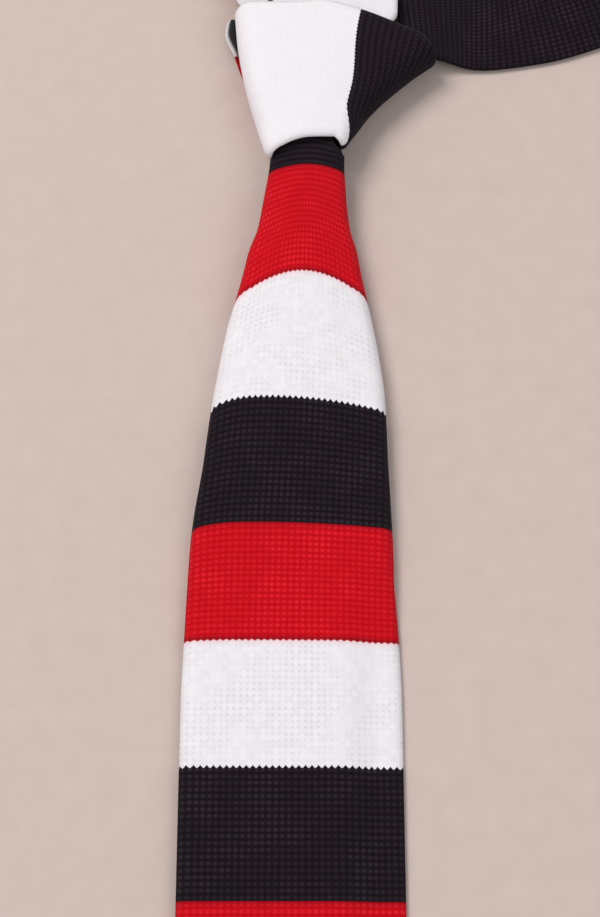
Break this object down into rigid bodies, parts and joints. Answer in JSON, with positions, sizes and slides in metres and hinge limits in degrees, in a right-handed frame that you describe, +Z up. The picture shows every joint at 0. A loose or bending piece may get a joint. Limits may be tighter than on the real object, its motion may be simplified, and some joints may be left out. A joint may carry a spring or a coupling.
{
  "type": "necktie",
  "caption": "Square-ended knit tie with broad horizontal stripes, tied in a four-in-hand knot and lying face up with its neck loop to one side.",
  "frame": {"origin": "on the table under the middle of the knot, on the flat underside of the strip that runs behind the knot", "axes": "+Y runs from the blade's square end towards the neck, +X is the wearer's left as seen from the front, +Z is up from the table through the tie's face"},
  "size_m": [0.1786, 0.5981, 0.0364],
  "materials": {
    "striped_knit": "matte knitted yarn in broad stripes of red, white and black",
    "plain_knit": "matte knitted black yarn"
  },
  "bodies": {
    "root": {"front_blade": "striped_knit", "knot_wrap": "striped_knit", "under_wrap": "striped_knit", "tail": "striped_knit", "neck_loop": "plain_knit"}
  },
  "joints": []
}
